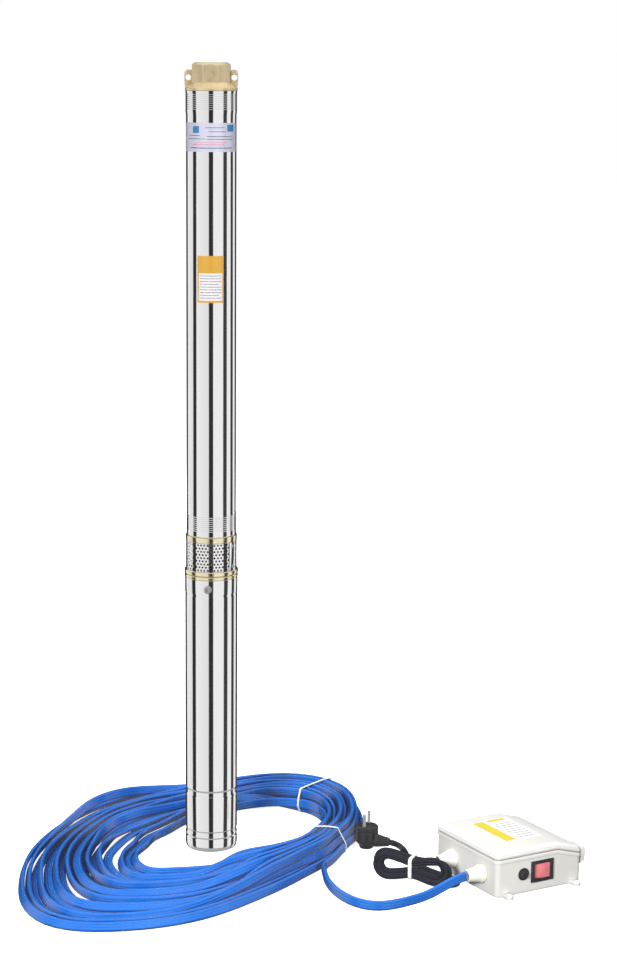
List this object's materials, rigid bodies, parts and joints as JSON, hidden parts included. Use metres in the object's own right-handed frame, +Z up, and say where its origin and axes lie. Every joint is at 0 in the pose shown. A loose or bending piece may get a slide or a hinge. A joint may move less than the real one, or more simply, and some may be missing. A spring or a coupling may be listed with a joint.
{
  "type": "borehole submersible pump",
  "caption": "Slim submersible borehole pump with perforated intake, socket outlet with lifting lugs, coiled drop cable, capacitor control box, and mains lead with plug.",
  "frame": {"origin": "centre of the pump's flat underside, on the floor that everything stands on", "axes": "+Z up along the pump's axis, -Y towards the front of the labelled pump, +X towards the control box"},
  "size_m": [0.7983, 0.6447, 1.143],
  "materials": {
    "polished_steel": "mirror-polished stainless steel",
    "steel": "machined steel",
    "brass": "matte cast and turned brass",
    "copper": "enamelled copper wire",
    "rubber": "black moulded rubber",
    "stage_plastic": "filled engineering plastic",
    "carbon": "bearing carbon",
    "box_plastic": "off-white satin plastic",
    "black_plastic": "black satin plastic",
    "red_plastic": "red glossy plastic",
    "blue_sheath": "blue satin cable sheath",
    "black_sheath": "black rubber cable sheath"
  },
  "bodies": {
    "pump": {"base_cap": "polished_steel", "pressure_diaphragm": "rubber", "motor_casing": "polished_steel", "filler_plug": "steel", "lower_end_bell": "steel", "lower_bearing_bush": "carbon", "thrust_bearing_seat": "steel", "stator_core": "steel", "lower_end_winding": "copper", "upper_end_winding": "copper", "upper_end_bell": "brass", "upper_bearing_bush": "carbon", "seal_seat": "carbon", "motor_lead_gland": "rubber", "suction_bracket": "brass", "intake_strainer": "polished_steel", "strainer_seam_strip": "polished_steel", "strainer_screw_lower": "steel", "strainer_screw_upper": "steel", "cable_guard": "polished_steel", "first_bowl": "stage_plastic", "bowl_stack": "stage_plastic", "upper_bearing_spider": "stage_plastic", "pump_casing": "polished_steel", "discharge_head": "brass", "lifting_lug_left": "brass", "lifting_lug_right": "brass", "check_valve_guide": "stage_plastic", "box_base": "box_plastic", "box_gasket": "rubber", "box_lid": "box_plastic", "lid_catch": "box_plastic", "switch_housing": "black_plastic", "breaker_body": "black_plastic", "supply_cable_gland": "box_plastic", "mains_lead_gland": "box_plastic", "run_capacitor": "steel", "terminal_block": "black_plastic", "cable_coil": "blue_sheath", "cable_run": "blue_sheath", "cable_drop": "blue_sheath", "mains_hank": "black_sheath", "mains_lead": "black_sheath", "plug_lead": "black_sheath", "plug_body": "black_plastic", "plug_pin_near": "steel", "plug_pin_far": "steel"},
    "rotor": {"motor_shaft": "steel", "thrust_disc": "carbon", "rotor_core": "steel", "seal_ring": "steel", "sand_slinger": "rubber", "shaft_coupling": "steel", "pump_shaft": "steel", "first_impeller": "stage_plastic", "impeller_stack": "stage_plastic"},
    "check_valve": {"check_valve_poppet": "rubber"},
    "rocker": {"switch_rocker": "red_plastic"},
    "reset": {"reset_button": "black_plastic"}
  },
  "joints": [
    {"name": "rotor_spin", "type": "hinge", "parent": "pump", "child": "rotor", "pos_m": [0, 0, 0.24], "axis": [0, 0, 1], "continuous": true},
    {"name": "check_valve_lift", "type": "slide", "parent": "pump", "child": "check_valve", "axis": [0, 0, 1], "range_m": [0, 0.008]},
    {"name": "rocker_tilt", "type": "hinge", "parent": "pump", "child": "rocker", "pos_m": [0.47095, -0.1785, 0.029], "axis": [0, 0, 1], "range_deg": [0, 20]},
    {"name": "reset_press", "type": "slide", "parent": "pump", "child": "reset", "axis": [-0.5, 0.866, 0], "range_m": [0, 0.0025], "stiffness_N_per_m": 300}
  ]
}
